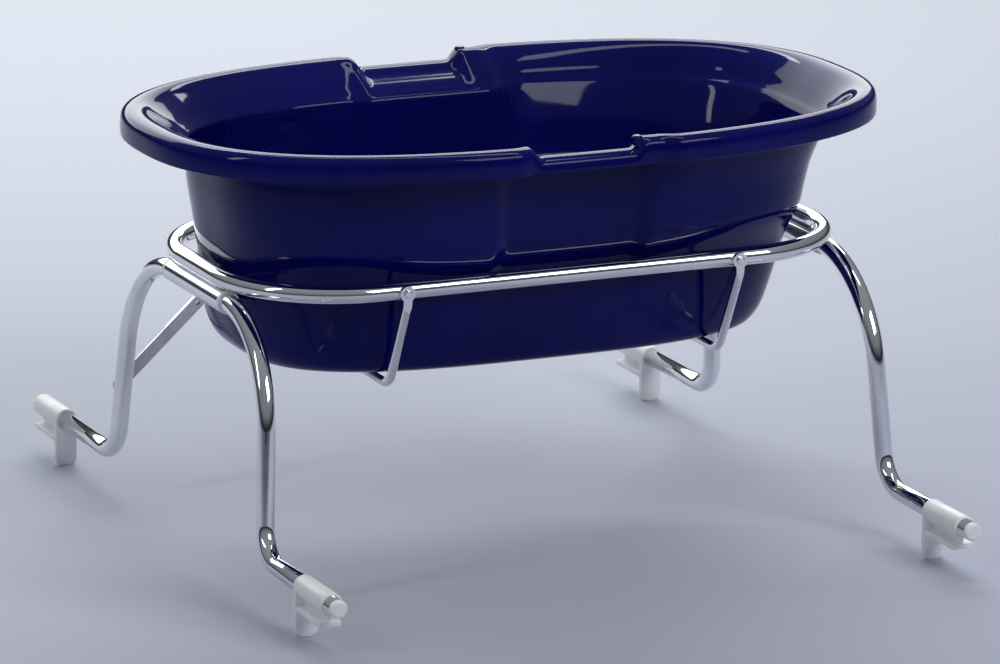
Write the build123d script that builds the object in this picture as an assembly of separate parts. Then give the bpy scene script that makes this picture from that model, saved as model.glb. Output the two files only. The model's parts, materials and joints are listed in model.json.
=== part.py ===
from build123d import *
import math
import os

os.makedirs("parts", exist_ok=True)

# Frame: +X along the tub, -Y is the front, +Z up, the origin under the middle of the stand at its feet.
# All sizes are in millimetres. LEFT and RIGHT are ends along X, FRONT and BACK are sides along Y.
LEFT, RIGHT = -1, 1
FRONT, BACK = -1, 1
END_NAMES = {LEFT: "left", RIGHT: "right"}
SIDE_NAMES = {FRONT: "front", BACK: "back"}

# Clearances
RUNNING_GAP = 0.05
BODY_GAP = 0.3

# How far a cutter reaches past what it cuts
CUT_MARGIN = 1.0

# Chrome tube of the stand
TUBE_RADIUS = 10.0
TUBE_WALL = 1.5
TUBE_BORE_RADIUS = TUBE_RADIUS - TUBE_WALL

# Support ring
RING_HALF_LENGTH = 352.5
RING_HALF_WIDTH = 182.0
RING_CORNER_RADIUS = 133.0
RING_HEIGHT = 318.0
VENT_RADIUS = 2.0

# Hinge under each end bar of the ring
SLEEVE_RADIUS = 12.5
SLEEVE_BORE_RADIUS = 11.3
SLEEVE_HALF_LENGTH = 76.0
WELD_DEPTH = 0.2
BUSH_FLANGE = 5.0
BUSH_FLANGE_RADIUS = 12.4
BUSH_SPIGOT = 20.0
HINGE_X = RING_HALF_LENGTH
HINGE_HEIGHT = RING_HEIGHT - TUBE_RADIUS - SLEEVE_RADIUS + WELD_DEPTH

# Leg frames: each is drawn flat, with distances measured down from the hinge, then tilted by the splay
FOOT_X = 367.0
FOOT_HEIGHT = 53.0
FOOT_END_Y = 415.0
LEG_TOP_CORNER_Y = 191.0
LEG_FOOT_CORNER_Y = 218.0
LEG_TOP_BEND = 123.0
LEG_FOOT_BEND = 40.0
SPLAY = math.atan2(FOOT_X - HINGE_X, HINGE_HEIGHT - FOOT_HEIGHT)
LEG_DROP = math.hypot(FOOT_X - HINGE_X, HINGE_HEIGHT - FOOT_HEIGHT)
PLUG_HEAD = 5.0
PLUG_EDGE_RADIUS = 3.5
PLUG_SPIGOT = 18.0

# Cradle rods
ROD_X = 195.0
ROD_RADIUS = 5.0
ROD_HANG_Y = 195.1
ROD_KNEE_HEIGHT = 305.0
ROD_BOTTOM_Y = 146.0
ROD_BOTTOM_HEIGHT = 206.5
ROD_KNEE_BEND = 20.0
ROD_BOTTOM_BEND = 24.0
EYELET_RADIUS = 8.5
EYELET_THICKNESS = 4.5
EYELET_HEIGHT = RING_HEIGHT - 1.0
EYELET_TRIM = 20.0
RIVET_SHANK_RADIUS = 2.5
RIVET_HEAD_RADIUS = 4.6
RIVET_HEAD = 2.4
RIVET_EDGE_RADIUS = 1.4

# Elbow stays: flat links in two planes outside the back legs
STAY_WIDTH = 14.0
STAY_THICKNESS = 2.0
LOWER_STAY_Y = 220.8
STAY_GAP = 0.4
UPPER_STAY_Y = LOWER_STAY_Y + STAY_THICKNESS + STAY_GAP
LEG_PIVOT_DROP = 163.6
POST_X = 159.0
POST_HEIGHT = RING_HEIGHT
LOWER_STAY_SHARE = 0.461
STAY_TAIL = 44.0
LOCK_DISTANCE = 34.0
PIVOT_RADIUS = 3.0
POST_RADIUS = 6.0
STUD_RADIUS = 5.5
STAY_HEAD = 2.2
PIVOT_DEPTH = 12.0

# Rim clips
CLIP_COLLAR_RADIUS = 12.5
CLIP_BORE_RADIUS = TUBE_RADIUS + RUNNING_GAP
CLIP_LENGTH = 75.0
CLIP_WIDTH = 25.0
CLIP_PLATE = 8.0
CLIP_PLATE_CORNER = 8.0
CLIP_FLANGE_END = 71.0
CLIP_FLANGE_BOTTOM = 28.0
CLIP_FLANGE_TOP = 34.0
CLIP_FLANGE_CORNER = 7.0
CLIP_RIB = 5.0
CLIP_INNER_FACE = {FRONT: 325.0, BACK: 378.0}

# Tub: superellipse outlines, stacked from the floor up the outside, over the rim and down the inside
TUB_POINTS = 96
RIM_EXPONENT = 2.53
WALL_EXPONENT = 3.0
WALL_HALF_LENGTH = 344.0
RIM_HALF_LENGTH = 420.0
RIM_HALF_WIDTH = 262.0
SKIRT_BOTTOM = 448.0
SHELL_THICKNESS = 3.2
WAIST_DEPTH = 8.0
WAIST_HALF_LENGTH = 84.0
WAIST_POWER = 10
WAIST_START = 235.0
WAIST_FULL = 375.0
FLARE_START = 60.0
FLARE_FULL = 130.0
DIP_DEPTH = 11.0
DIP_X = -12.0
DIP_HALF_LENGTH = 62.0
DIP_POWER = 10
DIP_START = 450.0
DIP_FULL = 466.0
TUB_FLOOR_HEIGHT = 212.0
FLOOR_EDGE_HEIGHT = 216.0

# From the floor's edge to under the rim: height, half-length, half-width, extra size of the right half
# and shift along X
OUTER_WALL = [
    (TUB_FLOOR_HEIGHT, 262.0, 120.0, 0.0, -6.0),
    (214.0, 279.0, 136.0, 0.0, -8.0),
    (220.0, 294.0, 147.0, 0.0, -12.0),
    (234.0, 307.0, 153.0, 0.0, -14.0),
    (262.0, 317.0, 160.0, 0.0, -14.0),
    (300.0, 326.0, 167.0, 0.0, -12.0),
    (318.0, 328.0, 169.6, 0.0, -8.0),
    (345.0, 333.5, 187.0, 0.0, -4.0),
    (358.0, 335.5, 194.0, 0.0, -3.0),
    (368.0, 337.0, 196.0, 0.0, -3.0),
    (400.0, 342.0, 197.0, 3.0, -3.0),
    (420.0, 343.5, 197.5, 8.0, -2.0),
    (436.0, WALL_HALF_LENGTH, 198.0, 13.0, -1.0),
]

# The rolled rim, as height above SKIRT_BOTTOM, distance inside the outer edge along X and Y, and extra
# size of the right half
RIM_UNDERSIDE = [
    (-6.0, 69.0, 59.0, 12.0),
    (2.0, 58.0, 50.5, 9.0),
    (9.0, 48.0, 41.5, 4.5),
    (16.5, 37.0, 31.0, 1.5),
    (21.5, 28.0, 22.5, 0.0),
    (24.5, 18.0, 14.0, 0.0),
    (22.5, 5.5, 5.5, 0.0),
    (18.0, SHELL_THICKNESS, SHELL_THICKNESS, 0.0),
    (0.0, SHELL_THICKNESS, SHELL_THICKNESS, 0.0),
]
RIM_TOP = [
    (0.0, 0.0, 0.0, 0.0),
    (16.0, 0.0, 0.0, 0.0),
    (22.5, 1.5, 1.5, 0.0),
    (26.5, 5.5, 5.5, 0.0),
    (28.0, 13.0, 11.0, 0.0),
    (27.6, 22.0, 17.5, 0.0),
    (25.5, 29.0, 23.5, 0.0),
    (20.5, 37.0, 31.0, 0.0),
    (13.5, 48.0, 41.5, 3.0),
    (6.0, 58.5, 51.0, 7.0),
    (-1.5, 67.0, 58.5, 10.5),
    (-7.0, 73.5, 64.0, 12.5),
]

# Drain in the tub's floor
DRAIN_X = 229.0
DRAIN_BORE_RADIUS = 18.0
DRAIN_NECK_RADIUS = 21.0
DRAIN_SPOUT_RADIUS = 20.0
DRAIN_FLANGE_RADIUS = 25.0
DRAIN_FLANGE = 2.2
DRAIN_TUBE_BOTTOM = 192.0
DRAIN_NUT_RADIUS = 27.0
DRAIN_NUT_HEIGHT = 8.0
PLUG_RIM_RADIUS = 21.0
PLUG_RIM = 3.0
PLUG_DEPTH = 12.0
PLUG_KNOB_RADIUS = 6.0
PLUG_KNOB_HEIGHT = 9.0
TUB_FLOOR_TOP = TUB_FLOOR_HEIGHT + SHELL_THICKNESS

# Lugs near the right end of each dip in the rim
LUG_X = {FRONT: 47.0, BACK: 57.0}
LUG_RADIUS = 6.0
LUG_HEIGHT = 12.0
LUG_EDGE_RADIUS = 3.0
LUG_SEAT_HEIGHT = 466.0
LUG_Y = 247.0


def along_y(radius, start, end, x, z):
    """A cylinder parallel to Y from start to end."""
    low, high = min(start, end), max(start, end)
    return Plane(origin=(x, low, z), z_dir=(0, 1, 0)) * extrude(Circle(radius), high - low)


def upright(radius, bottom, top, x, y):
    """A vertical cylinder from bottom to top."""
    return Pos(x, y, bottom) * extrude(Circle(radius), top - bottom)


def swept_tube(path, radius):
    """A round bar of the given radius that follows a path."""
    return sweep(Plane(origin=path @ 0, z_dir=path % 0) * Circle(radius), path=path)


def rounded_path(plane, points, radii):
    """A polyline drawn in a plane with its corners rounded."""
    return plane * FilletPolyline(*points, radius=radii)


def domed_head(radius, height, edge_radius, x, start, end, z):
    """A rivet head parallel to Y whose end edge is rounded."""
    head = along_y(radius, start, end, x, z)
    direction = 1 if end > start else -1
    outer_edge = head.edges().filter_by(GeomType.CIRCLE).sort_by(Axis.Y)[-1 if direction > 0 else 0]
    return fillet(outer_edge, edge_radius)


def smooth_step(value, start, end):
    """0 before start, 1 after end, and a smooth rise between."""
    share = min(1.0, max(0.0, (value - start) / (end - start)))
    return share * share * (3.0 - 2.0 * share)


def plateau(distance, half_length, power):
    """1 near the middle and 0 far away, with its slopes at half_length from the middle."""
    return 1.0 / (1.0 + (distance / half_length) ** power)


def tub_outline(height, half_length, half_width, flare, shift=0.0):
    """One closed outline of the tub, with its waist, its dip and a right half larger by flare."""
    rim_share = smooth_step(half_length, WALL_HALF_LENGTH, RIM_HALF_LENGTH)
    exponent = WALL_EXPONENT + (RIM_EXPONENT - WALL_EXPONENT) * rim_share
    dip_share = smooth_step(height, DIP_START, DIP_FULL)
    waist_share = smooth_step(height, WAIST_START, WAIST_FULL)
    points = []
    for index in range(TUB_POINTS):
        angle = 2.0 * math.pi * index / TUB_POINTS
        cosine, sine = math.cos(angle), math.sin(angle)
        end_length = half_length + (flare if cosine > 0 else 0.0)
        x = shift + end_length * math.copysign(abs(cosine) ** (2.0 / exponent), cosine)
        side_width = half_width + flare * smooth_step(x, FLARE_START, FLARE_FULL)
        y = side_width * math.copysign(abs(sine) ** (2.0 / exponent), sine)
        waist = WAIST_DEPTH * waist_share * plateau(x, WAIST_HALF_LENGTH, WAIST_POWER)
        dip = DIP_DEPTH * dip_share * plateau(x - DIP_X, DIP_HALF_LENGTH, DIP_POWER)
        inward = waist * abs(sine)
        points.append((x, y - math.copysign(inward, sine), height - dip))
    return Wire(Spline(*points, periodic=True))


def tub_shell():
    """The moulded tub: floor, walls, rolled rim with a hanging skirt, and the hole for the drain."""
    outlines = list(OUTER_WALL)
    for rise, inset_x, inset_y, flare in RIM_UNDERSIDE + RIM_TOP:
        outlines.append((SKIRT_BOTTOM + rise, RIM_HALF_LENGTH - inset_x, RIM_HALF_WIDTH - inset_y, flare))
    for height, half_length, half_width, flare, shift in reversed(OUTER_WALL):
        near_floor = height < FLOOR_EDGE_HEIGHT
        inner_height = height + SHELL_THICKNESS if near_floor else height
        inner_length, inner_width = half_length - SHELL_THICKNESS, half_width - SHELL_THICKNESS
        outlines.append((inner_height, inner_length, inner_width, flare, shift))
    shell = Solid.make_loft([tub_outline(*outline) for outline in outlines], ruled=True)
    hole = upright(DRAIN_NECK_RADIUS, TUB_FLOOR_HEIGHT - CUT_MARGIN, TUB_FLOOR_TOP + CUT_MARGIN, DRAIN_X, 0)
    return shell - hole


def rim_lug(side):
    """A small round lug that stands on the rim near the right end of the dip."""
    y = side * (LUG_Y - WAIST_DEPTH / 2)
    lug = upright(LUG_RADIUS, LUG_SEAT_HEIGHT, LUG_SEAT_HEIGHT + LUG_HEIGHT, LUG_X[side], y)
    return fillet(lug.edges().filter_by(GeomType.CIRCLE).sort_by(Axis.Z)[-1], LUG_EDGE_RADIUS)


def drain_outlet():
    """The flanged outlet tube through the tub's floor."""
    flange_top = TUB_FLOOR_TOP + DRAIN_FLANGE
    flange = upright(DRAIN_FLANGE_RADIUS, TUB_FLOOR_TOP, flange_top, DRAIN_X, 0)
    nut_bottom = TUB_FLOOR_HEIGHT - DRAIN_NUT_HEIGHT
    neck = upright(DRAIN_NECK_RADIUS, nut_bottom, TUB_FLOOR_TOP, DRAIN_X, 0)
    spout = upright(DRAIN_SPOUT_RADIUS, DRAIN_TUBE_BOTTOM, nut_bottom, DRAIN_X, 0)
    bore = upright(DRAIN_BORE_RADIUS, DRAIN_TUBE_BOTTOM, flange_top, DRAIN_X, 0)
    return flange + neck + spout - bore


def drain_nut():
    """The ring nut that clamps the outlet from below."""
    bottom = TUB_FLOOR_HEIGHT - DRAIN_NUT_HEIGHT
    nut = upright(DRAIN_NUT_RADIUS, bottom, TUB_FLOOR_HEIGHT, DRAIN_X, 0)
    return nut - upright(DRAIN_NECK_RADIUS, bottom, TUB_FLOOR_HEIGHT, DRAIN_X, 0)


def drain_plug():
    """The rubber plug with a finger knob."""
    seat = TUB_FLOOR_TOP + DRAIN_FLANGE
    rim_bottom = seat + BODY_GAP
    stem = upright(DRAIN_BORE_RADIUS - RUNNING_GAP, seat - PLUG_DEPTH, rim_bottom, DRAIN_X, 0)
    rim = upright(PLUG_RIM_RADIUS, rim_bottom, rim_bottom + PLUG_RIM, DRAIN_X, 0)
    knob_bottom = rim_bottom + PLUG_RIM
    knob = upright(PLUG_KNOB_RADIUS, knob_bottom, knob_bottom + PLUG_KNOB_HEIGHT, DRAIN_X, 0)
    return stem + rim + knob


def ring_bar(radius):
    """A round bar that follows the ring's centre line."""
    outline = RectangleRounded(2 * RING_HALF_LENGTH, 2 * RING_HALF_WIDTH, RING_CORNER_RADIUS)
    return swept_tube(Pos(0, 0, RING_HEIGHT) * outline.wire(), radius)


def support_ring():
    """The closed ring of tube, with a vent hole on its underside."""
    vent = upright(VENT_RADIUS, RING_HEIGHT - 2 * TUBE_RADIUS, RING_HEIGHT, 0, RING_HALF_WIDTH)
    return ring_bar(TUBE_RADIUS) - ring_bar(TUBE_BORE_RADIUS) - vent


def hinge_sleeve(end):
    """The sleeve welded under an end bar of the ring."""
    x = end * HINGE_X
    outside = along_y(SLEEVE_RADIUS, -SLEEVE_HALF_LENGTH, SLEEVE_HALF_LENGTH, x, HINGE_HEIGHT)
    bore = along_y(SLEEVE_BORE_RADIUS, -SLEEVE_HALF_LENGTH, SLEEVE_HALF_LENGTH, x, HINGE_HEIGHT)
    return outside - bore


def hinge_bush(end, side):
    """A nylon bush pressed into one mouth of the sleeve."""
    x = end * HINGE_X
    mouth = side * SLEEVE_HALF_LENGTH
    outer_face = side * (SLEEVE_HALF_LENGTH + BUSH_FLANGE)
    inner_face = side * (SLEEVE_HALF_LENGTH - BUSH_SPIGOT)
    flange = along_y(BUSH_FLANGE_RADIUS, mouth, outer_face, x, HINGE_HEIGHT)
    spigot = along_y(SLEEVE_BORE_RADIUS, inner_face, mouth, x, HINGE_HEIGHT)
    bore = along_y(TUBE_RADIUS + RUNNING_GAP, inner_face, outer_face, x, HINGE_HEIGHT)
    return flange + spigot - bore


def leg_plane(end):
    """The tilted plane of a leg frame: its x is the world's Y, its y points down the leg."""
    down = (end * math.sin(SPLAY), 0, -math.cos(SPLAY))
    normal = Vector(0, 1, 0).cross(Vector(*down))
    return Plane(origin=(end * HINGE_X, 0, HINGE_HEIGHT), x_dir=(0, 1, 0), z_dir=normal)


def leg_bar(end, radius):
    """A round bar that follows the leg frame: foot, leg, hinge bar, leg, foot."""
    points = [
        (-FOOT_END_Y, LEG_DROP),
        (-LEG_FOOT_CORNER_Y, LEG_DROP),
        (-LEG_TOP_CORNER_Y, 0),
        (LEG_TOP_CORNER_Y, 0),
        (LEG_FOOT_CORNER_Y, LEG_DROP),
        (FOOT_END_Y, LEG_DROP),
    ]
    radii = [LEG_FOOT_BEND, LEG_TOP_BEND, LEG_TOP_BEND, LEG_FOOT_BEND]
    return swept_tube(rounded_path(leg_plane(end), points, radii), radius)


def leg_frame(end):
    """The bent tube of one leg frame."""
    return leg_bar(end, TUBE_RADIUS) - leg_bar(end, TUBE_BORE_RADIUS)


def tube_plug(end, side):
    """A plug pressed into a foot tube, with a rounded head."""
    x = end * FOOT_X
    mouth = side * FOOT_END_Y
    head = domed_head(
        TUBE_RADIUS, PLUG_HEAD, PLUG_EDGE_RADIUS, x, mouth, mouth + side * PLUG_HEAD, FOOT_HEIGHT
    )
    return head + along_y(TUBE_BORE_RADIUS, mouth - side * PLUG_SPIGOT, mouth, x, FOOT_HEIGHT)


def cradle_rod(end):
    """A rod that hangs from two eyelets on the ring and passes under the tub."""
    x = end * ROD_X
    points = [
        (-ROD_HANG_Y, EYELET_HEIGHT),
        (-ROD_HANG_Y, ROD_KNEE_HEIGHT),
        (-ROD_BOTTOM_Y, ROD_BOTTOM_HEIGHT),
        (ROD_BOTTOM_Y, ROD_BOTTOM_HEIGHT),
        (ROD_HANG_Y, ROD_KNEE_HEIGHT),
        (ROD_HANG_Y, EYELET_HEIGHT),
    ]
    radii = [ROD_KNEE_BEND, ROD_BOTTOM_BEND, ROD_BOTTOM_BEND, ROD_KNEE_BEND]
    across = Plane(origin=(x, 0, 0), x_dir=(0, 1, 0), z_dir=(1, 0, 0))
    rod = swept_tube(rounded_path(across, points, radii), ROD_RADIUS)
    for side in (FRONT, BACK):
        face = side * (RING_HALF_WIDTH + TUBE_RADIUS)
        eyelet = along_y(EYELET_RADIUS, face, face + side * EYELET_THICKNESS, x, EYELET_HEIGHT)
        outer_face = face + side * EYELET_THICKNESS
        beyond = outer_face + side * EYELET_TRIM
        shank_hole = along_y(RIVET_SHANK_RADIUS, face - side * TUBE_RADIUS, beyond, x, EYELET_HEIGHT)
        flat_side = along_y(EYELET_TRIM, outer_face, beyond, x, EYELET_HEIGHT)
        rod = rod + eyelet - shank_hole - flat_side
    return rod - ring_bar(TUBE_RADIUS)


def cradle_rod_rivet(end, side):
    """A rivet through an eyelet into the ring's outer wall."""
    x = end * ROD_X
    face = side * (RING_HALF_WIDTH + TUBE_RADIUS + EYELET_THICKNESS)
    head = domed_head(
        RIVET_HEAD_RADIUS, RIVET_HEAD, RIVET_EDGE_RADIUS, x, face, face + side * RIVET_HEAD, EYELET_HEIGHT
    )
    shank = along_y(RIVET_SHANK_RADIUS, face - side * EYELET_THICKNESS, face, x, EYELET_HEIGHT)
    return (head + shank) - ring_bar(TUBE_RADIUS)


def leg_pivot(end):
    """X and Z of the lower stay's pivot on the leg."""
    x = end * (HINGE_X + LEG_PIVOT_DROP * math.sin(SPLAY))
    return x, HINGE_HEIGHT - LEG_PIVOT_DROP * math.cos(SPLAY)


def stay_point(end, distance):
    """X and Z of a point on the straight stay, at a distance from the leg pivot towards the post."""
    leg_x, leg_z = leg_pivot(end)
    share = distance / stay_length(end)
    return leg_x + share * (end * POST_X - leg_x), leg_z + share * (POST_HEIGHT - leg_z)


def stay_length(end):
    """Distance from the leg pivot to the post."""
    leg_x, leg_z = leg_pivot(end)
    return math.hypot(leg_x - end * POST_X, POST_HEIGHT - leg_z)


def flat_link(start, finish, near_face):
    """A flat link with round ends from one X, Z point to another, its near face at near_face along Y."""
    (x0, z0), (x1, z1) = start, finish
    length = math.hypot(x1 - x0, z1 - z0)
    across = Plane(
        origin=((x0 + x1) / 2, near_face, (z0 + z1) / 2), x_dir=(x1 - x0, 0, z1 - z0), z_dir=(0, 1, 0)
    )
    return across * extrude(SlotCenterToCenter(length, STAY_WIDTH), STAY_THICKNESS)


def link_hole(point, near_face, radius):
    """The cutter for a round hole through a link."""
    return along_y(radius, near_face, near_face + STAY_THICKNESS, point[0], point[1])


def lower_stay(end):
    """The link from the leg stud to the elbow."""
    elbow = stay_point(end, stay_length(end) * LOWER_STAY_SHARE)
    link = flat_link(leg_pivot(end), elbow, LOWER_STAY_Y)
    stud_hole = link_hole(leg_pivot(end), LOWER_STAY_Y, PIVOT_RADIUS + RUNNING_GAP)
    return link - stud_hole - link_hole(elbow, LOWER_STAY_Y, PIVOT_RADIUS + RUNNING_GAP)


def upper_stay(end):
    """The link from the post to the elbow, with a lock tail beyond it."""
    elbow_distance = stay_length(end) * LOWER_STAY_SHARE
    post = (end * POST_X, POST_HEIGHT)
    link = flat_link(post, stay_point(end, elbow_distance - STAY_TAIL), UPPER_STAY_Y)
    elbow = stay_point(end, elbow_distance)
    lock = stay_point(end, elbow_distance - LOCK_DISTANCE)
    for point, radius in ((post, PIVOT_RADIUS + RUNNING_GAP), (elbow, PIVOT_RADIUS), (lock, PIVOT_RADIUS)):
        link = link - link_hole(point, UPPER_STAY_Y, radius)
    return link


def link_rivet(point):
    """A rivet held in the upper link, its tail flush with the link's inner face."""
    outer_face = UPPER_STAY_Y + STAY_THICKNESS
    head = domed_head(
        POST_RADIUS, STAY_HEAD, RIVET_EDGE_RADIUS, point[0], outer_face, outer_face + STAY_HEAD, point[1]
    )
    return head + along_y(PIVOT_RADIUS, UPPER_STAY_Y, outer_face, point[0], point[1])


def elbow_rivet(end):
    """The rivet at the elbow."""
    return link_rivet(stay_point(end, stay_length(end) * LOWER_STAY_SHARE))


def lock_rivet(end):
    """The rivet at the lock tail."""
    return link_rivet(stay_point(end, stay_length(end) * LOWER_STAY_SHARE - LOCK_DISTANCE))


def stay_post(end):
    """The post welded to the ring's back bar, bored for its rivet."""
    x = end * POST_X
    tip = UPPER_STAY_Y - BODY_GAP
    post = along_y(POST_RADIUS, RING_HALF_WIDTH, tip, x, POST_HEIGHT) - ring_bar(TUBE_RADIUS)
    return post - along_y(PIVOT_RADIUS, tip - PIVOT_DEPTH, tip, x, POST_HEIGHT)


def post_rivet(end):
    """The rivet that the upper stay turns on."""
    x = end * POST_X
    head_start = UPPER_STAY_Y + STAY_THICKNESS + BODY_GAP
    head = domed_head(
        POST_RADIUS, STAY_HEAD, RIVET_EDGE_RADIUS, x, head_start, head_start + STAY_HEAD, POST_HEIGHT
    )
    tail = UPPER_STAY_Y - BODY_GAP - PIVOT_DEPTH
    return head + along_y(PIVOT_RADIUS, tail, head_start, x, POST_HEIGHT)


def leg_stud(end):
    """The stud on the back leg that the lower stay turns on."""
    x, z = leg_pivot(end)
    shoulder = LOWER_STAY_Y - BODY_GAP
    head_start = LOWER_STAY_Y + STAY_THICKNESS + BODY_GAP
    leg_y = LEG_TOP_CORNER_Y
    base = along_y(STUD_RADIUS, leg_y, shoulder, x, z) - leg_bar(end, TUBE_RADIUS)
    base = base.solids().sort_by(Axis.Y)[-1]
    head = domed_head(
        STUD_RADIUS, STAY_HEAD, RIVET_EDGE_RADIUS, x, head_start, head_start + STAY_HEAD, z
    )
    return base + along_y(PIVOT_RADIUS, shoulder, head_start, x, z) + head


def foot_clip(end, side):
    """A clip: collar on the foot tube, plate down the inside of the rim, flange over the rim."""
    x = end * FOOT_X
    inner = CLIP_INNER_FACE[side]
    collar = along_y(CLIP_COLLAR_RADIUS, side * inner, side * (inner + CLIP_LENGTH), x, FOOT_HEIGHT)
    plate_profile = Pos(0, FOOT_HEIGHT / 2) * Rectangle(CLIP_WIDTH, FOOT_HEIGHT)
    bottom_corners = plate_profile.vertices().sort_by(Axis.Y)[:2]
    plate_profile = fillet(bottom_corners, CLIP_PLATE_CORNER)
    upright_plane = Plane(origin=(x, side * inner, 0), x_dir=(1, 0, 0), z_dir=(0, -1, 0))
    plate = upright_plane * extrude(plate_profile, -side * CLIP_PLATE)
    flange_length = CLIP_FLANGE_END - CLIP_PLATE
    flange_middle = inner + CLIP_PLATE + flange_length / 2
    flange_profile = Rectangle(CLIP_WIDTH, flange_length)
    outer_corners = flange_profile.vertices().sort_by(Axis.Y)[-2:]
    if side == FRONT:
        outer_corners = flange_profile.vertices().sort_by(Axis.Y)[:2]
    flange_profile = fillet(outer_corners, CLIP_FLANGE_CORNER)
    flange = Pos(x, side * flange_middle, CLIP_FLANGE_BOTTOM) * extrude(
        flange_profile, CLIP_FLANGE_TOP - CLIP_FLANGE_BOTTOM
    )
    rib = Pos(x, side * flange_middle, (CLIP_FLANGE_TOP + FOOT_HEIGHT) / 2) * Box(
        CLIP_RIB, flange_length, FOOT_HEIGHT - CLIP_FLANGE_TOP
    )
    bore = along_y(CLIP_BORE_RADIUS, side * inner, side * (inner + CLIP_LENGTH), x, FOOT_HEIGHT)
    return collar + plate + flange + rib - bore


def save(name, shape):
    """Write one node."""
    export_step(shape, f"parts/{name}.step")


tub = tub_shell()
save("tub_shell", tub)
save("drain_outlet", drain_outlet())
save("drain_nut", drain_nut())
save("drain_plug", drain_plug())
save("support_ring", support_ring())
save("cradle_rod_rivets", Compound([
    cradle_rod_rivet(end, side).solid() for end in (LEFT, RIGHT) for side in (FRONT, BACK)
]))
for side, side_name in SIDE_NAMES.items():
    save(f"{side_name}_rim_lug", (rim_lug(side) - tub).solids().sort_by(Axis.Z)[-1])
for end, end_name in END_NAMES.items():
    save(f"{end_name}_hinge_sleeve", hinge_sleeve(end))
    save(f"{end_name}_hinge_bushes", Compound([hinge_bush(end, side).solid() for side in (FRONT, BACK)]))
    save(f"{end_name}_leg_frame", leg_frame(end))
    save(f"{end_name}_cradle_rod", cradle_rod(end))
    save(f"{end_name}_stay_post", stay_post(end))
    save(f"{end_name}_post_rivet", post_rivet(end))
    save(f"{end_name}_leg_stud", leg_stud(end))
    save(f"{end_name}_lower_stay", lower_stay(end))
    save(f"{end_name}_upper_stay", upper_stay(end))
    save(f"{end_name}_elbow_rivet", elbow_rivet(end))
    save(f"{end_name}_lock_rivet", lock_rivet(end))
    for side, side_name in SIDE_NAMES.items():
        save(f"{end_name}_{side_name}_foot_clip", foot_clip(end, side))
        save(f"{end_name}_{side_name}_tube_plug", tube_plug(end, side))
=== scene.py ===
import json
import math

import bmesh
import bpy
import numpy as np
from mathutils import Matrix, Vector

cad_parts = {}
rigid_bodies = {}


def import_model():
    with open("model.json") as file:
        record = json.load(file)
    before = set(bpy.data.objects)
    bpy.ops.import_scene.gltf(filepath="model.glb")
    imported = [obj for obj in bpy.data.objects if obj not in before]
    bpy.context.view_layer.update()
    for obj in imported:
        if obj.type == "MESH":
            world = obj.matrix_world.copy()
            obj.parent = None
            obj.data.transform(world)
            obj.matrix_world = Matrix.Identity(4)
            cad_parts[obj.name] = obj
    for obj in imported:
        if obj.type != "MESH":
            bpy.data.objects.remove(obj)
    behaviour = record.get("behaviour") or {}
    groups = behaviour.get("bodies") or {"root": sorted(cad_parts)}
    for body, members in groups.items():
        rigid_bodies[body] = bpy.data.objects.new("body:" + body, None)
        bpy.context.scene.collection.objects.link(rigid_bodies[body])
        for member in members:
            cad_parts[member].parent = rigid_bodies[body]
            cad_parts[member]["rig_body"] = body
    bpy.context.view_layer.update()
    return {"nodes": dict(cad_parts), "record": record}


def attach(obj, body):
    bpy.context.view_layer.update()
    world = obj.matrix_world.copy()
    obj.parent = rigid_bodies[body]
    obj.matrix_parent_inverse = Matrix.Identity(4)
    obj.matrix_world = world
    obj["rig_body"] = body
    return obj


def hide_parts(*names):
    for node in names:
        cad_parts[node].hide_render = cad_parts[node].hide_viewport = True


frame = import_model()
nodes = frame["nodes"]

MM = 0.001
LEFT, RIGHT = -1, 1
FRONT, BACK = -1, 1
END_NAMES = {LEFT: "left", RIGHT: "right"}
SIDE_NAMES = {FRONT: "front", BACK: "back"}

# Camera, solved from the photograph: angles in degrees, distances in metres, lens and sensor in mm
CAMERA_AZIMUTH = -24.31
CAMERA_ELEVATION = 14.49
CAMERA_ROLL = 0.46
CAMERA_DISTANCE = 6.95
CAMERA_TARGET = Vector((0.0, 0.0, 0.21))
CAMERA_CLIP_END = 100.0
SENSOR_WIDTH = 36.0
FOCAL_LENGTH = 6.34 * SENSOR_WIDTH

# Linear colours, with red, green and blue from 0 to 1: the two ends of each material's clouding, and for
# some of them the plain colour between
TUB_BLUE_DEEP = (0.0016, 0.0022, 0.078)
TUB_BLUE_PALE = (0.0030, 0.0042, 0.115)
CHROME_DULL, CHROME_PLAIN, CHROME_BRIGHT = (0.78, 0.79, 0.82), (0.83, 0.84, 0.86), (0.88, 0.885, 0.89)
ZINC_DULL, ZINC_PLAIN, ZINC_BRIGHT = (0.55, 0.56, 0.6), (0.62, 0.63, 0.66), (0.7, 0.71, 0.73)
RUBBER_BLACK, RUBBER_PLAIN, RUBBER_DUSTY = (0.02, 0.02, 0.022), (0.03, 0.03, 0.033), (0.05, 0.05, 0.053)
NYLON_DULL, NYLON_WHITE = (0.86, 0.87, 0.88), (0.93, 0.935, 0.93)
DRAIN_GREY_DEEP, DRAIN_GREY_PALE = (0.55, 0.56, 0.58), (0.66, 0.67, 0.68)
CLOUD_START, CLOUD_END = 0.35, 0.65

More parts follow.
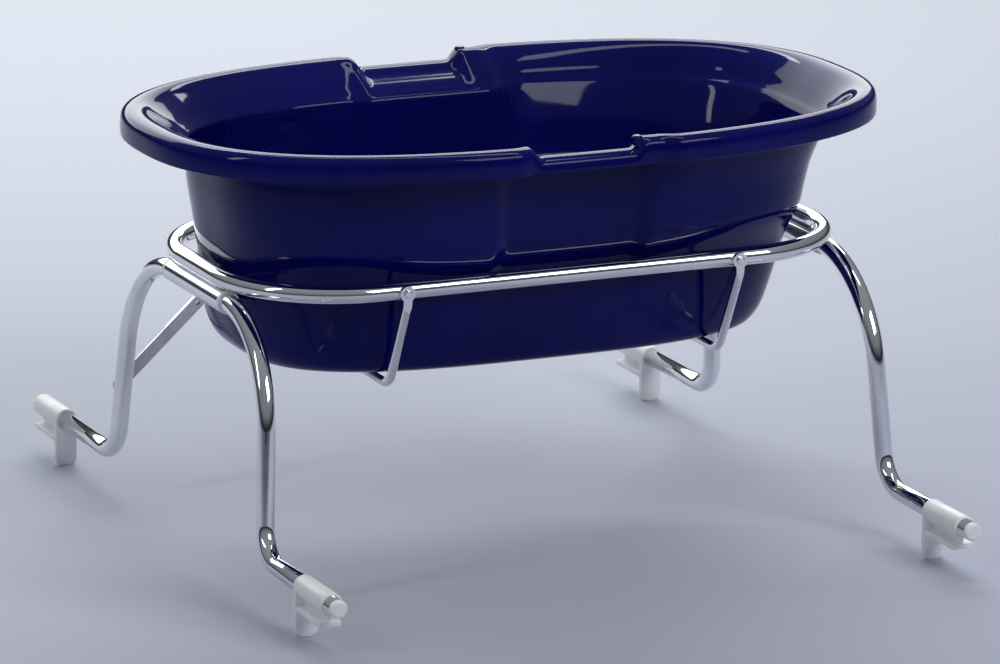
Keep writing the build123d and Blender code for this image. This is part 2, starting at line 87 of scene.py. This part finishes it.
# Chrome tubes, in metres like every size below that isn't in a table
TUBE_RADIUS = 10 * MM
RING_HALF_LENGTH = 352.5 * MM
RING_HALF_WIDTH = 182 * MM
RING_CORNER_RADIUS = 133 * MM
RING_HEIGHT = 318 * MM
HINGE_HEIGHT = 295.7 * MM
FOOT_X = 367 * MM
FOOT_HEIGHT = 53 * MM
FOOT_END_Y = 415 * MM
LEG_TOP_CORNER_Y = 191 * MM
LEG_FOOT_CORNER_Y = 218 * MM
LEG_TOP_BEND = 123 * MM
LEG_FOOT_BEND = 40 * MM
TUBE_SIDES = 64
ARC_STEP = math.radians(2.0)
FEWEST_ARC_STEPS = 4

# Clips: collar round the foot tube, hanging plate, flange that rests on the bathtub's rim, and rib
CLIP_COLLAR_RADIUS = 12.5 * MM
CLIP_LENGTH = 75 * MM
CLIP_WIDTH = 25 * MM
CLIP_PLATE = 8 * MM
CLIP_PLATE_CORNER = 8 * MM
CLIP_FLANGE_END = 71 * MM
CLIP_FLANGE_BOTTOM = 28 * MM
CLIP_FLANGE_TOP = 34 * MM
CLIP_RIB = 5 * MM
CLIP_INNER_FACE = {FRONT: 325 * MM, BACK: 378 * MM}
CLIP_BEVEL = 1.2 * MM
BEVEL_STEPS = 3
CORNER_STEPS = 8
LEVEL_TOLERANCE = 0.01 * MM

# Paper floor with painted shade: darker towards the front and lighter towards the back, standing in for the
# light that falls from behind
FLOOR_FRONT_PAINTED_SHADE = (0.43, 0.455, 0.56)
FLOOR_BACK_PAINTED_LIGHT = (0.62, 0.66, 0.72)
FLOOR_FRONT_Y, FLOOR_BACK_Y = -1.0, 3.0
FLOOR_HALF_SIZE = 40.0

# Surround, with its bands' places from straight down at 0 to straight up at 1
WORLD_STRENGTH = 0.36
WORLD_BANDS = [
    (0.0, (0.25, 0.26, 0.3)),
    (0.52, (0.05, 0.05, 0.06)),
    (0.62, (0.5, 0.52, 0.58)),
    (1.0, (0.75, 0.78, 0.86)),
]

# Lamps: name, location, the point it faces, width, height and power in watts
LAMPS = [
    ("back_panel", (0.6, 4.2, 2.4), (0, 0, 0.4), 6.0, 2.6, 128),
    ("top_strip", (1.2, 2.2, 2.6), (0, 0, 0.3), 2.6, 0.35, 26),
    ("overhead_strip", (0.3, 0.2, 2.8), (0, 0, 0.3), 2.6, 0.3, 15),
    ("left_strip", (-2.8, -0.5, 2.0), (0, 0, 0.4), 0.3, 1.6, 13),
    ("front_fill", (1.6, -3.4, 2.6), (0.3, 0, 0.2), 2.4, 1.4, 62),
]

# Tub: points round each outline, and outlines made from each station to the next
RING_POINTS = 512
STATION_STEPS = 5
SMALLEST_KNOT_GAP = 1e-6
RIM_HALF_LENGTH = 420 * MM
RIM_HALF_WIDTH = 262 * MM
WALL_HALF_LENGTH = 344 * MM
RIM_EXPONENT = 2.53
WALL_EXPONENT = 3.0
WALL_THICKNESS = 3.2 * MM
SKIRT_BOTTOM = 448 * MM
FLOOR_TOP = 215.2 * MM
FLOOR_EDGE_HEIGHT = 225 * MM
WAIST_DEPTH = 8 * MM
WAIST_INNER, WAIST_OUTER = 72 * MM, 96 * MM
WAIST_START, WAIST_FULL = 235 * MM, 375 * MM
FLARE_START, FLARE_FULL = 60 * MM, 130 * MM
DIP_X = -12 * MM
DIP_INNER, DIP_OUTER = 54 * MM, 66 * MM


# ---------------------------------------------------------------- materials

def new_material(name, color, roughness, metallic=0.0, specular=0.5):
    """A principled material and its node tree, with the constants set on the shader's own sockets."""
    material = bpy.data.materials.new(name)
    material.use_nodes = True
    shader = material.node_tree.nodes["Principled BSDF"]
    shader.inputs["Base Color"].default_value = (*color, 1.0)
    shader.inputs["Roughness"].default_value = roughness
    shader.inputs["Metallic"].default_value = metallic
    shader.inputs["Specular IOR Level"].default_value = specular
    return material, material.node_tree, shader


def object_noise(tree, scale, detail, stretch=(1.0, 1.0, 1.0)):
    """The strength of a noise texture that is fixed to the object."""
    coordinates = tree.nodes.new("ShaderNodeTexCoord")
    mapping = tree.nodes.new("ShaderNodeMapping")
    mapping.inputs["Scale"].default_value = stretch
    noise = tree.nodes.new("ShaderNodeTexNoise")
    noise.inputs["Scale"].default_value = scale
    noise.inputs["Detail"].default_value = detail
    tree.links.new(coordinates.outputs["Object"], mapping.inputs["Vector"])
    tree.links.new(mapping.outputs["Vector"], noise.inputs["Vector"])
    return noise.outputs["Fac"]


def tint(tree, shader, factor, low, high, start=CLOUD_START, end=CLOUD_END):
    """Base colour from low to high as the factor goes from start to end."""
    ramp = tree.nodes.new("ShaderNodeValToRGB")
    ramp.color_ramp.elements[0].position = start
    ramp.color_ramp.elements[1].position = end
    ramp.color_ramp.elements[0].color = (*low, 1.0)
    ramp.color_ramp.elements[1].color = (*high, 1.0)
    tree.links.new(factor, ramp.inputs["Fac"])
    tree.links.new(ramp.outputs["Color"], shader.inputs["Base Color"])


def vary_roughness(tree, shader, factor, low, high):
    """Roughness from low to high as the factor goes from 0 to 1."""
    spread = tree.nodes.new("ShaderNodeMapRange")
    spread.inputs["To Min"].default_value = low
    spread.inputs["To Max"].default_value = high
    tree.links.new(factor, spread.inputs["Value"])
    tree.links.new(spread.outputs["Result"], shader.inputs["Roughness"])


def add_bump(tree, shader, factor, strength, distance):
    """A bump that follows the factor, up to distance high in metres and weakened by strength."""
    bump = tree.nodes.new("ShaderNodeBump")
    bump.inputs["Strength"].default_value = strength
    bump.inputs["Distance"].default_value = distance
    tree.links.new(factor, bump.inputs["Height"])
    tree.links.new(bump.outputs["Normal"], shader.inputs["Normal"])


def tub_plastic():
    """Dark blue moulded plastic: high gloss, a slight cloudiness and long soft ripples of the moulding."""
    material, tree, shader = new_material("tub_plastic_fine", TUB_BLUE_DEEP, roughness=0.06, specular=0.16)
    cloud = object_noise(tree, scale=5.0, detail=3.0)
    tint(tree, shader, cloud, TUB_BLUE_DEEP, TUB_BLUE_PALE)
    haze = object_noise(tree, scale=60.0, detail=5.0)
    vary_roughness(tree, shader, haze, low=0.04, high=0.08)
    ripple = object_noise(tree, scale=9.0, detail=1.0)
    add_bump(tree, shader, ripple, strength=0.1, distance=3.0 * MM)
    return material


def chrome():
    """Bright chrome plate with faint polishing marks."""
    material, tree, shader = new_material("chrome_fine", CHROME_PLAIN, roughness=0.05, metallic=1.0)
    marks = object_noise(tree, scale=260.0, detail=3.0, stretch=(1.0, 0.25, 1.0))
    vary_roughness(tree, shader, marks, low=0.03, high=0.09)
    cloud = object_noise(tree, scale=14.0, detail=2.0)
    tint(tree, shader, cloud, CHROME_DULL, CHROME_BRIGHT)
    waves = object_noise(tree, scale=35.0, detail=2.0)
    add_bump(tree, shader, waves, strength=0.03, distance=2.0 * MM)
    return material


def zinc_strip():
    """Zinc-plated steel strip, rolled along its length."""
    material, tree, shader = new_material("zinc_strip_fine", ZINC_PLAIN, roughness=0.28, metallic=1.0)
    lines = object_noise(tree, scale=420.0, detail=3.0, stretch=(0.2, 1.0, 0.2))
    vary_roughness(tree, shader, lines, low=0.18, high=0.36)
    cloud = object_noise(tree, scale=30.0, detail=3.0)
    tint(tree, shader, cloud, ZINC_DULL, ZINC_BRIGHT)
    add_bump(tree, shader, lines, strength=0.08, distance=0.5 * MM)
    return material


def moulded_plastic(name, low, high, roughness):
    """A satin moulded plastic with a fine grain and a little light through it."""
    material, tree, shader = new_material(name, high, roughness)
    shader.inputs["Subsurface Weight"].default_value = 0.15
    shader.inputs["Subsurface Scale"].default_value = 4.0 * MM
    cloud = object_noise(tree, scale=40.0, detail=4.0)
    tint(tree, shader, cloud, low, high)
    haze = object_noise(tree, scale=300.0, detail=3.0)
    vary_roughness(tree, shader, haze, low=roughness * 0.8, high=roughness * 1.25)
    grain = object_noise(tree, scale=900.0, detail=3.0)
    add_bump(tree, shader, grain, strength=0.1, distance=0.3 * MM)
    return material


def plug_rubber():
    """Soft black rubber with a dusty bloom."""
    material, tree, shader = new_material("plug_rubber_fine", RUBBER_PLAIN, roughness=0.6)
    bloom = object_noise(tree, scale=70.0, detail=5.0)
    tint(tree, shader, bloom, RUBBER_BLACK, RUBBER_DUSTY)
    haze = object_noise(tree, scale=200.0, detail=4.0)
    vary_roughness(tree, shader, haze, low=0.5, high=0.75)
    grain = object_noise(tree, scale=700.0, detail=3.0)
    add_bump(tree, shader, grain, strength=0.15, distance=0.4 * MM)
    return material


MATERIALS = {
    "tub_plastic": tub_plastic(),
    "chrome": chrome(),
    "white_nylon": moulded_plastic("white_nylon_fine", NYLON_DULL, NYLON_WHITE, roughness=0.35),
    "bright_steel": zinc_strip(),
    "drain_plastic": moulded_plastic("drain_plastic_fine", DRAIN_GREY_DEEP, DRAIN_GREY_PALE, roughness=0.4),
    "plug_rubber": plug_rubber(),
}
SLOTS = {entry["node"]: entry["material_slot"] for entry in frame["record"]["subparts"]}


def dress_nodes():
    """Gives every carried-over CAD node its detailed material."""
    for name, piece in nodes.items():
        for material_slot in piece.material_slots:
            material_slot.material = MATERIALS[SLOTS[name]]


def new_piece(name, vertices, faces, replaced):
    """A mesh piece that stands for a CAD node, on that node's body and with its slot's material."""
    mesh = bpy.data.meshes.new(name)
    mesh.from_pydata([tuple(v) for v in vertices], [], faces)
    mesh.validate()
    mesh.update()
    mesh.polygons.foreach_set("use_smooth", [True] * len(mesh.polygons))
    piece = bpy.data.objects.new(name, mesh)
    bpy.context.scene.collection.objects.link(piece)
    mesh.materials.append(MATERIALS[SLOTS[replaced]])
    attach(piece, nodes[replaced]["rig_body"])
    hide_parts(replaced)
    return piece


# ---------------------------------------------------------------- tub

def smooth_step(value, start, end):
    """0 before start, 1 after end, and a smooth rise between, for numbers or arrays."""
    share = np.clip((value - start) / (end - start), 0.0, 1.0)
    return share * share * (3.0 - 2.0 * share)


# Outside of the tub from the middle of its underside up to the rim, in mm: height, half-length, half-width,
# extra size of the right half and shift along X
OUTER_WALL = [
    (212.0, 60.0, 20.0, 0.0, 0.0),
    (212.0, 240.0, 96.0, 0.0, -4.0), (212.0, 262.0, 120.0, 0.0, -6.0), (214.0, 279.0, 136.0, 0.0, -8.0),
    (220.0, 294.0, 147.0, 0.0, -12.0), (234.0, 307.0, 153.0, 0.0, -14.0), (262.0, 317.0, 160.0, 0.0, -14.0),
    (300.0, 326.0, 167.0, 0.0, -12.0), (318.0, 328.0, 169.6, 0.0, -8.0), (332.0, 331.0, 178.0, 0.0, -6.0),
    (345.0, 333.5, 187.0, 0.0, -4.0), (358.0, 335.5, 194.0, 0.0, -3.0), (368.0, 337.0, 196.0, 0.0, -3.0),
    (385.0, 340.0, 196.5, 1.0, -3.0), (400.0, 342.0, 197.0, 3.0, -3.0), (420.0, 343.5, 197.5, 8.0, -2.0),
    (436.0, 344.0, 198.0, 13.0, -1.0),
]
# First row of OUTER_WALL that the inside of the tub follows
INNER_WALL_START = 3
# Half-lengths and half-widths of the outlines of the floor inside the tub, in mm
INNER_FLOOR = [(250.0, 114.0), (226.0, 90.0), (60.0, 20.0)]
# Rim, in mm: height above the skirt's lower edge, inset from the outer edge along X and Y, extra size of
# the right half, and how far it dips
RIM_UNDERSIDE = [
    (-6.0, 69.0, 59.0, 12.0, 0.0), (2.0, 58.0, 50.5, 9.0, 2.0), (9.0, 48.0, 41.5, 4.5, 7.0),
    (16.5, 37.0, 31.0, 1.5, 11.0), (21.5, 28.0, 22.5, 0.0, 12.0), (24.5, 18.0, 14.0, 0.0, 12.0),
    (22.5, 5.5, 5.5, 0.0, 12.0), (18.0, 3.2, 3.2, 0.0, 11.0), (1.0, 3.2, 3.2, 0.0, 0.0),
    (0.0, 2.4, 2.4, 0.0, 0.0),
]
RIM_TOP = [
    (0.0, 0.8, 0.8, 0.0, 0.0), (1.0, 0.0, 0.0, 0.0, 0.0), (16.0, 0.0, 0.0, 0.0, 11.0),
    (22.5, 1.5, 1.5, 0.0, 12.0), (26.5, 5.5, 5.5, 0.0, 12.0), (28.0, 13.0, 11.0, 0.0, 12.0),
    (27.6, 22.0, 17.5, 0.0, 12.0), (25.5, 29.0, 23.5, 0.0, 12.0), (20.5, 37.0, 31.0, 0.0, 12.0),
    (13.5, 48.0, 41.5, 3.0, 9.0), (6.0, 58.5, 51.0, 7.0, 5.0), (-1.5, 67.0, 58.5, 10.5, 2.0),
    (-7.0, 73.5, 64.0, 12.5, 0.0),
]


def tub_stations():
    """Stations from the middle of the underside, over the rim, to the middle of the floor inside: height,
    half-length, half-width, extra size of the right half, shift along X and dip, in metres."""
    wall = WALL_THICKNESS / MM
    stations = [row + (0.0,) for row in OUTER_WALL]
    for rise, inset_x, inset_y, flare, dip in RIM_UNDERSIDE + RIM_TOP:
        height = SKIRT_BOTTOM / MM + rise
        length, width = RIM_HALF_LENGTH / MM - inset_x, RIM_HALF_WIDTH / MM - inset_y
        stations.append((height, length, width, flare, 0.0, dip))
    for height, length, width, flare, shift in reversed(OUTER_WALL[INNER_WALL_START:]):
        raised = max(height, FLOOR_TOP / MM) if height > FLOOR_EDGE_HEIGHT / MM else height + wall
        stations.append((raised, length - wall, width - wall, flare, shift, 0.0))
    for length, width in INNER_FLOOR:
        stations.append((FLOOR_TOP / MM, length, width, 0.0, 0.0, 0.0))
    return np.array(stations) * MM


def blend_at(first, second, start, end, value):
    """The point between first and second at value, where first is at start and second at end."""
    return first + (second - first) * (value - start) / (end - start)


def smoothed(stations, steps):
    """Points on a centripetal curve through the stations."""
    padded = np.vstack([2 * stations[0] - stations[1], stations, 2 * stations[-1] - stations[-2]])
    points = []
    for index in range(1, len(padded) - 2):
        before, start, end, after = padded[index - 1:index + 3]
        knots = np.cumsum([0.0] + [
            max(SMALLEST_KNOT_GAP, np.linalg.norm(b[:3] - a[:3])) ** 0.5
            for a, b in ((before, start), (start, end), (end, after))
        ])
        for share in np.arange(steps) / steps:
            t = knots[1] + share * (knots[2] - knots[1])
            a1 = blend_at(before, start, knots[0], knots[1], t)
            a2 = blend_at(start, end, knots[1], knots[2], t)
            a3 = blend_at(end, after, knots[2], knots[3], t)
            b1 = blend_at(a1, a2, knots[0], knots[2], t)
            b2 = blend_at(a2, a3, knots[1], knots[3], t)
            points.append(blend_at(b1, b2, knots[1], knots[2], t))
    points.append(stations[-1])
    return np.array(points)


def tub_ring(station):
    """The points of one closed outline of the tub, with its waist, its flared right half and its dips."""
    height, half_length, half_width, flare, shift, dip = station
    rim_share = smooth_step(half_length, WALL_HALF_LENGTH, RIM_HALF_LENGTH)
    exponent = WALL_EXPONENT + (RIM_EXPONENT - WALL_EXPONENT) * rim_share
    turn = np.arange(RING_POINTS) * 2.0 * math.pi / RING_POINTS
    side = np.where(np.cos(turn) >= 0, -1.0, 1.0)
    x = shift + (half_length + np.where(np.sin(turn) > 0, flare, 0.0)) * np.sin(turn)
    rest = np.clip(1.0 - np.abs(np.sin(turn)) ** exponent, 0.0, 1.0)
    depth = (half_width + flare * smooth_step(x, FLARE_START, FLARE_FULL)) * rest ** (1.0 / exponent)
    waist = WAIST_DEPTH * smooth_step(np.abs(x), WAIST_OUTER, WAIST_INNER)
    waist = waist * smooth_step(height, WAIST_START, WAIST_FULL)
    dipped = dip * smooth_step(np.abs(x - DIP_X), DIP_OUTER, DIP_INNER)
    return np.column_stack([x, side * np.maximum(0.0, depth - waist), height - dipped])


def build_tub():
    """The fine mesh of the tub."""
    rings = [tub_ring(station) for station in smoothed(tub_stations(), STATION_STEPS)]
    vertices = np.vstack(rings + [rings[0].mean(axis=0), rings[-1].mean(axis=0)])
    faces = []
    for ring in range(len(rings) - 1):
        base = ring * RING_POINTS
        for index in range(RING_POINTS):
            after = (index + 1) % RING_POINTS
            above = base + RING_POINTS
            faces.append((base + index, base + after, above + after, above + index))
    last = (len(rings) - 1) * RING_POINTS
    bottom_middle, top_middle = len(vertices) - 2, len(vertices) - 1
    for index in range(RING_POINTS):
        after = (index + 1) % RING_POINTS
        faces.append((after, index, bottom_middle))
        faces.append((last + index, last + after, top_middle))
    return new_piece("tub", vertices, faces, "tub_shell")


# ---------------------------------------------------------------- tubes

def rounded_line(corners, radii):
    """Points along a polyline whose inner corners are rounded by arcs."""
    corners = [np.array(corner, float) for corner in corners]
    points = [corners[0]]
    for before, corner, after, radius in zip(corners, corners[1:], corners[2:], radii):
        inward = (before - corner) / np.linalg.norm(before - corner)
        outward = (after - corner) / np.linalg.norm(after - corner)
        half_angle = math.acos(np.clip(inward @ outward, -1, 1)) / 2
        bisector = (inward + outward) / np.linalg.norm(inward + outward)
        centre = corner + bisector * radius / math.sin(half_angle)
        start = corner + inward * radius / math.tan(half_angle) - centre
        end = corner + outward * radius / math.tan(half_angle) - centre
        turn = math.pi - 2 * half_angle
        steps = max(FEWEST_ARC_STEPS, math.ceil(turn / ARC_STEP))
        for step in range(steps + 1):
            share = step / steps
            arc = math.sin((1 - share) * turn) * start + math.sin(share * turn) * end
            points.append(centre + arc / math.sin(turn))
    points.append(corners[-1])
    return np.array(points)


def tube_mesh(points, radius, closed=False):
    """Vertices and faces of a round bar along points that lie in one plane."""
    count = len(points)
    if closed:
        tangents = np.roll(points, -1, axis=0) - np.roll(points, 1, axis=0)
    else:
        tangents = np.gradient(points, axis=0)
    tangents = tangents / np.linalg.norm(tangents, axis=1, keepdims=True)
    _, _, axes = np.linalg.svd(points - points.mean(axis=0))
    normal = axes[2]
    vertices = []
    for point, tangent in zip(points, tangents):
        sideways = np.cross(tangent, normal)
        for side in range(TUBE_SIDES):
            angle = 2 * math.pi * side / TUBE_SIDES
            vertices.append(point + radius * (math.cos(angle) * sideways + math.sin(angle) * normal))
    faces = []
    for ring in range(count if closed else count - 1):
        base, following = ring * TUBE_SIDES, ((ring + 1) % count) * TUBE_SIDES
        for side in range(TUBE_SIDES):
            after = (side + 1) % TUBE_SIDES
            faces.append((base + after, base + side, following + side, following + after))
    if not closed:
        faces.append(tuple(range(TUBE_SIDES)))
        faces.append(tuple(range((count - 1) * TUBE_SIDES, count * TUBE_SIDES))[::-1])
    return vertices, faces


def build_ring():
    """The support ring as one smooth closed tube."""
    x, y, z = RING_HALF_LENGTH, RING_HALF_WIDTH, RING_HEIGHT
    front_middle = (0, -y, z)
    corners = [front_middle, (x, -y, z), (x, y, z), (-x, y, z), (-x, -y, z), front_middle]
    points = rounded_line(corners, [RING_CORNER_RADIUS] * 4)[:-1]
    vertices, faces = tube_mesh(points, TUBE_RADIUS, closed=True)
    return new_piece("ring", vertices, faces, "support_ring")


def build_leg_frame(end):
    """One leg frame as a smooth bar: foot, leg, hinge bar, leg, foot."""
    foot_x, hinge_x = end * FOOT_X, end * RING_HALF_LENGTH
    corners = [
        (foot_x, -FOOT_END_Y, FOOT_HEIGHT),
        (foot_x, -LEG_FOOT_CORNER_Y, FOOT_HEIGHT),
        (hinge_x, -LEG_TOP_CORNER_Y, HINGE_HEIGHT),
        (hinge_x, LEG_TOP_CORNER_Y, HINGE_HEIGHT),
        (foot_x, LEG_FOOT_CORNER_Y, FOOT_HEIGHT),
        (foot_x, FOOT_END_Y, FOOT_HEIGHT),
    ]
    points = rounded_line(corners, [LEG_FOOT_BEND, LEG_TOP_BEND, LEG_TOP_BEND, LEG_FOOT_BEND])
    vertices, faces = tube_mesh(points, TUBE_RADIUS)
    name = END_NAMES[end]
    return new_piece(f"{name}_legs", vertices, faces, f"{name}_leg_frame")


# ---------------------------------------------------------------- clips

def bevelled_prism(outline, start, end, bevel):
    """A prism along Y over an X, Z outline, with its two end edges bevelled, as a mesh part."""
    part = bmesh.new()
    near = [part.verts.new((x, start, z)) for x, z in outline]
    face = part.faces.new(near)
    made = bmesh.ops.extrude_face_region(part, geom=[face])
    moved = [item for item in made["geom"] if isinstance(item, bmesh.types.BMVert)]
    bmesh.ops.translate(part, verts=moved, vec=(0, end - start, 0))
    bmesh.ops.recalc_face_normals(part, faces=part.faces)
    edges = [
        edge for edge in part.edges
        if abs(edge.verts[0].co.y - edge.verts[1].co.y) < LEVEL_TOLERANCE
    ]
    bmesh.ops.bevel(part, geom=edges, offset=bevel, segments=BEVEL_STEPS, profile=0.5, affect="EDGES")
    return part


def rounded_outline(x0, x1, z0, z1, radii):
    """A rectangle in X and Z with its four corners rounded, lower left first and then round."""
    centres = [(x0, z0, 1, 1, 180), (x1, z0, -1, 1, 270), (x1, z1, -1, -1, 0), (x0, z1, 1, -1, 90)]
    points = []
    for (x, z, inward_x, inward_z, first), radius in zip(centres, radii):
        for step in range(CORNER_STEPS + 1):
            angle = math.radians(first + 90 * step / CORNER_STEPS)
            points.append((
                x + radius * (inward_x + math.cos(angle)), z + radius * (inward_z + math.sin(angle))
            ))
    return points


def circle_outline(x, z, radius):
    """A circle in X and Z."""
    turn = [2 * math.pi * side / TUBE_SIDES for side in range(TUBE_SIDES)]
    return [(x + radius * math.cos(angle), z + radius * math.sin(angle)) for angle in turn]


def build_clip(end, side):
    """A clip: collar with rounded mouths, hanging plate, flange and rib, all with soft edges."""
    x, inner = end * FOOT_X, CLIP_INNER_FACE[side]
    half, half_rib = CLIP_WIDTH / 2, CLIP_RIB / 2
    soft = CLIP_BEVEL
    plate = rounded_outline(
        x - half, x + half, 0.0, FOOT_HEIGHT, [CLIP_PLATE_CORNER, CLIP_PLATE_CORNER, soft, soft]
    )
    flange = rounded_outline(x - half, x + half, CLIP_FLANGE_BOTTOM, CLIP_FLANGE_TOP, [soft] * 4)
    rib = rounded_outline(x - half_rib, x + half_rib, CLIP_FLANGE_TOP - soft, FOOT_HEIGHT, [soft] * 4)
    collar = circle_outline(x, FOOT_HEIGHT, CLIP_COLLAR_RADIUS)
    parts = [
        (plate, inner, inner + CLIP_PLATE),
        (flange, inner + CLIP_PLATE / 2, inner + CLIP_FLANGE_END),
        (rib, inner + CLIP_PLATE / 2, inner + CLIP_FLANGE_END - 2 * soft),
        (collar, inner, inner + CLIP_LENGTH),
    ]
    vertices, faces = [], []
    for outline, start, finish in parts:
        low, high = sorted((side * start, side * finish))
        part = bevelled_prism(outline, low, high, soft)
        base = len(vertices)
        part.verts.index_update()
        vertices += [vertex.co.copy() for vertex in part.verts]
        faces += [[base + vertex.index for vertex in face.verts] for face in part.faces]
        part.free()
    name = f"{END_NAMES[end]}_{SIDE_NAMES[side]}"
    return new_piece(f"{name}_clip", vertices, faces, f"{name}_foot_clip")


# ---------------------------------------------------------------- stage

def look_at_rotation(location, target, roll):
    """The rotation of a camera or lamp that looks from location to target."""
    rotation = (target - location).to_track_quat("-Z", "Y").to_matrix().to_4x4()
    return rotation @ Matrix.Rotation(roll, 4, "Z")


def add_camera():
    """The camera at the photograph's viewing angle."""
    azimuth, elevation = math.radians(CAMERA_AZIMUTH), math.radians(CAMERA_ELEVATION)
    direction = Vector((
        math.sin(azimuth) * math.cos(elevation),
        -math.cos(azimuth) * math.cos(elevation),
        math.sin(elevation),
    ))
    location = CAMERA_TARGET + direction * CAMERA_DISTANCE
    data = bpy.data.cameras.new("camera")
    data.sensor_width = SENSOR_WIDTH
    data.lens = FOCAL_LENGTH
    data.clip_end = CAMERA_CLIP_END
    camera = bpy.data.objects.new("camera", data)
    bpy.context.scene.collection.objects.link(camera)
    camera.matrix_world = look_at_rotation(location, CAMERA_TARGET, math.radians(CAMERA_ROLL))
    camera.location = location
    bpy.context.scene.camera = camera


def add_lamp(name, location, target, width, height, power):
    """A soft white rectangular lamp."""
    data = bpy.data.lights.new(name, "AREA")
    data.shape = "RECTANGLE"
    data.size = width
    data.size_y = height
    data.energy = power
    lamp = bpy.data.objects.new(name, data)
    bpy.context.scene.collection.objects.link(lamp)
    location = Vector(location)
    lamp.matrix_world = look_at_rotation(location, Vector(target), 0.0)
    lamp.location = location


def add_floor():
    """A large pale paper floor with painted shade: darker towards the front and a little lighter towards
    the back, as the light falls from behind.
    """
    half = FLOOR_HALF_SIZE
    mesh = bpy.data.meshes.new("floor")
    corners = [(-half, -half, 0), (half, -half, 0), (half, half, 0), (-half, half, 0)]
    mesh.from_pydata(corners, [], [(0, 1, 2, 3)])
    floor = bpy.data.objects.new("floor", mesh)
    bpy.context.scene.collection.objects.link(floor)
    material, tree, shader = new_material("floor_paper_painted_shade", FLOOR_FRONT_PAINTED_SHADE, roughness=0.7, specular=0.2)
    coordinates = tree.nodes.new("ShaderNodeTexCoord")
    separate = tree.nodes.new("ShaderNodeSeparateXYZ")
    spread = tree.nodes.new("ShaderNodeMapRange")
    spread.interpolation_type = "SMOOTHSTEP"
    spread.inputs["From Min"].default_value = FLOOR_FRONT_Y
    spread.inputs["From Max"].default_value = FLOOR_BACK_Y
    tree.links.new(coordinates.outputs["Object"], separate.inputs["Vector"])
    tree.links.new(separate.outputs["Y"], spread.inputs["Value"])
    # Painted shade: the floor's colour runs from the darker front to the lighter back along Y
    tint(tree, shader, spread.outputs["Result"], FLOOR_FRONT_PAINTED_SHADE, FLOOR_BACK_PAINTED_LIGHT, start=0.0, end=1.0)
    grain = object_noise(tree, scale=300.0, detail=3.0)
    add_bump(tree, shader, grain, strength=0.02, distance=0.5 * MM)
    mesh.materials.append(material)


def add_world():
    """A pale surround that is darkest just above the horizon, so that the chrome has contrast."""
    world = bpy.data.worlds.new("studio")
    bpy.context.scene.world = world
    world.use_nodes = True
    tree = world.node_tree
    background = tree.nodes["Background"]
    coordinates = tree.nodes.new("ShaderNodeTexCoord")
    separate = tree.nodes.new("ShaderNodeSeparateXYZ")
    ramp = tree.nodes.new("ShaderNodeValToRGB")
    bands = ramp.color_ramp.elements
    bands.remove(bands[1])
    bands[0].position = WORLD_BANDS[0][0]
    bands[0].color = (*WORLD_BANDS[0][1], 1.0)
    for position, color in WORLD_BANDS[1:]:
        bands.new(position).color = (*color, 1.0)
    spread = tree.nodes.new("ShaderNodeMapRange")
    spread.inputs["From Min"].default_value = -1.0
    tree.links.new(coordinates.outputs["Generated"], separate.inputs["Vector"])
    tree.links.new(separate.outputs["Z"], spread.inputs["Value"])
    tree.links.new(spread.outputs["Result"], ramp.inputs["Fac"])
    tree.links.new(ramp.outputs["Color"], background.inputs["Color"])
    background.inputs["Strength"].default_value = WORLD_STRENGTH


add_camera()
dress_nodes()
build_tub()
build_ring()
for end in (LEFT, RIGHT):
    build_leg_frame(end)
    for side in (FRONT, BACK):
        build_clip(end, side)
add_floor()
add_world()
for lamp in LAMPS:
    add_lamp(*lamp)
bpy.context.scene.view_settings.view_transform = "Standard"
